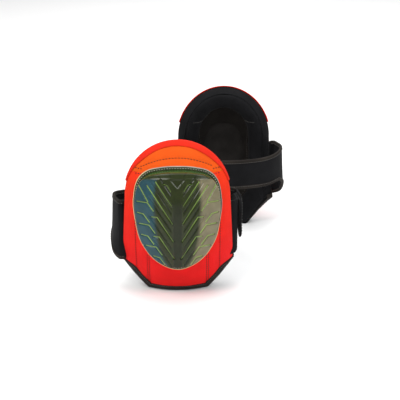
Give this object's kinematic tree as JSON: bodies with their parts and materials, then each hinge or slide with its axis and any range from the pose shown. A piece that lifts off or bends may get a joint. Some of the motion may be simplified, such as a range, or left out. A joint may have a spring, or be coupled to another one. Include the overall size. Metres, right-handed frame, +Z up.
{
  "type": "knee pads",
  "caption": "Curved knee pads with a moulded kneeling cap, padded orange cover, foam and gel core, and a wide fastening strap.",
  "frame": {"origin": "the point on the ground midway between the two pads", "axes": "+Z up. The front pad's cap faces -Y and the rear pad's cap faces +Y, +X to the right seen from the front"},
  "size_m": [0.2978, 0.436, 0.253],
  "materials": {
    "cap": "glossy",
    "gel": "satin",
    "crown_cloth": "matte",
    "hem_cloth": "matte",
    "cover_cloth": "matte",
    "binding": "matte",
    "neoprene": "matte",
    "lining_cloth": "matte",
    "foam": "matte",
    "fastener": "matte"
  },
  "bodies": {
    "front_pad": {"front_tread_cap": "cap", "front_gel_core": "gel", "front_crown_panel": "crown_cloth", "front_crown_hem": "hem_cloth", "front_centre_panel": "cover_cloth", "front_left_side_panel": "cover_cloth", "front_right_side_panel": "cover_cloth", "front_bottom_binding": "binding", "front_foam_shell": "foam", "front_gel_pad": "gel", "front_lining": "lining_cloth", "front_rim_bolster": "lining_cloth", "front_knee_cushion": "lining_cloth", "front_right_wing": "neoprene", "front_loop_patch": "fastener"},
    "front_strap": {"front_strap_band": "neoprene", "front_strap_upper_binding": "binding", "front_strap_lower_binding": "binding"},
    "front_flap": {"front_strap_flap": "neoprene", "front_hook_patch": "fastener"},
    "rear_pad": {"rear_tread_cap": "cap", "rear_gel_core": "gel", "rear_crown_panel": "crown_cloth", "rear_crown_hem": "hem_cloth", "rear_centre_panel": "cover_cloth", "rear_left_side_panel": "cover_cloth", "rear_right_side_panel": "cover_cloth", "rear_bottom_binding": "binding", "rear_foam_shell": "foam", "rear_gel_pad": "gel", "rear_lining": "lining_cloth", "rear_rim_bolster": "lining_cloth", "rear_knee_cushion": "lining_cloth", "rear_right_wing": "neoprene", "rear_loop_patch": "fastener"},
    "rear_strap": {"rear_strap_band": "neoprene", "rear_strap_upper_binding": "binding", "rear_strap_lower_binding": "binding"},
    "rear_flap": {"rear_strap_flap": "neoprene", "rear_hook_patch": "fastener"}
  },
  "joints": [
    {"name": "front_strap_swing", "type": "hinge", "parent": "front_pad", "child": "front_strap", "pos_m": [-0.134, -0.15009, 0.102], "axis": [0, 0, 1], "range_deg": [0, 120]},
    {"name": "front_flap_peel", "type": "hinge", "parent": "front_strap", "child": "front_flap", "pos_m": [0.05461, -0.10158, 0.126], "axis": [0, 0, 1], "range_deg": [0, 110]},
    {"name": "rear_pad_slide", "type": "slide", "parent": "front_pad", "child": "rear_pad", "axis": [1, 0, 0], "range_m": [0, 0.2]},
    {"name": "rear_strap_swing", "type": "hinge", "parent": "rear_pad", "child": "rear_strap", "pos_m": [0.134, 0.15009, 0.102], "axis": [0, 0, 1], "range_deg": [0, 120]},
    {"name": "rear_flap_peel", "type": "hinge", "parent": "rear_strap", "child": "rear_flap", "pos_m": [-0.05461, 0.10158, 0.126], "axis": [0, 0, 1], "range_deg": [0, 110]}
  ]
}
